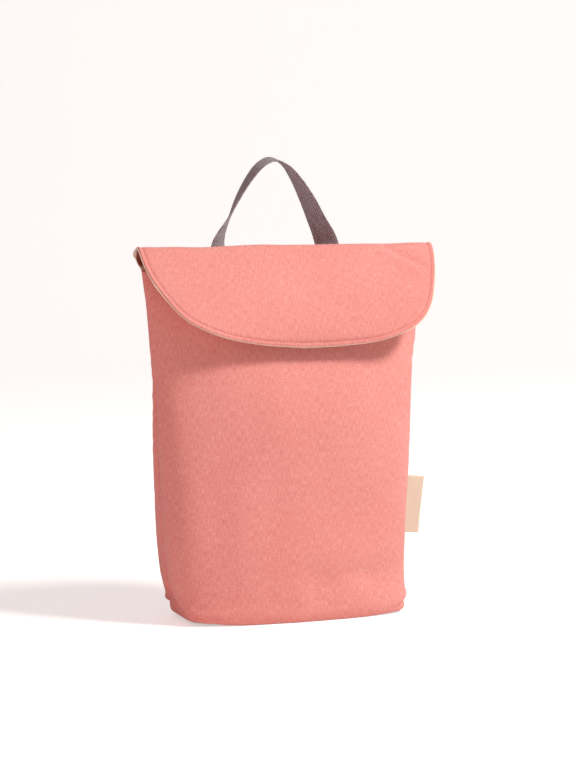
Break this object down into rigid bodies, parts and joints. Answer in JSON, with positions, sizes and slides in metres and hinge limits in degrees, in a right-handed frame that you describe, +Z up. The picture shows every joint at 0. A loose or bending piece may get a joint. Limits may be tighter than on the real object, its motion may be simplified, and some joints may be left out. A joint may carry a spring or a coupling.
{
  "type": "diaper wet bag",
  "caption": "Small upright cloth pouch with boxed corners, a rounded flap folded over its mouth, a webbing handle behind the fold and a plain side label.",
  "frame": {"origin": "middle of the base, on the surface that the bag stands on", "axes": "+Z up, -Y to the front with the flap, +X to the right of the front, where the label is"},
  "size_m": [0.2037, 0.0672, 0.2962],
  "materials": {
    "pink_cloth": "woven melange, matte",
    "cream_lining": "smooth coated cloth, matte",
    "grey_webbing": "twill webbing, matte",
    "cream_tape": "woven tape, matte"
  },
  "bodies": {
    "root": {"front_panel": "pink_cloth", "back_panel": "pink_cloth", "flap_outer": "pink_cloth", "flap_lining": "cream_lining", "mouth_hem": "pink_cloth", "handle": "grey_webbing", "side_label": "cream_tape"}
  },
  "joints": []
}
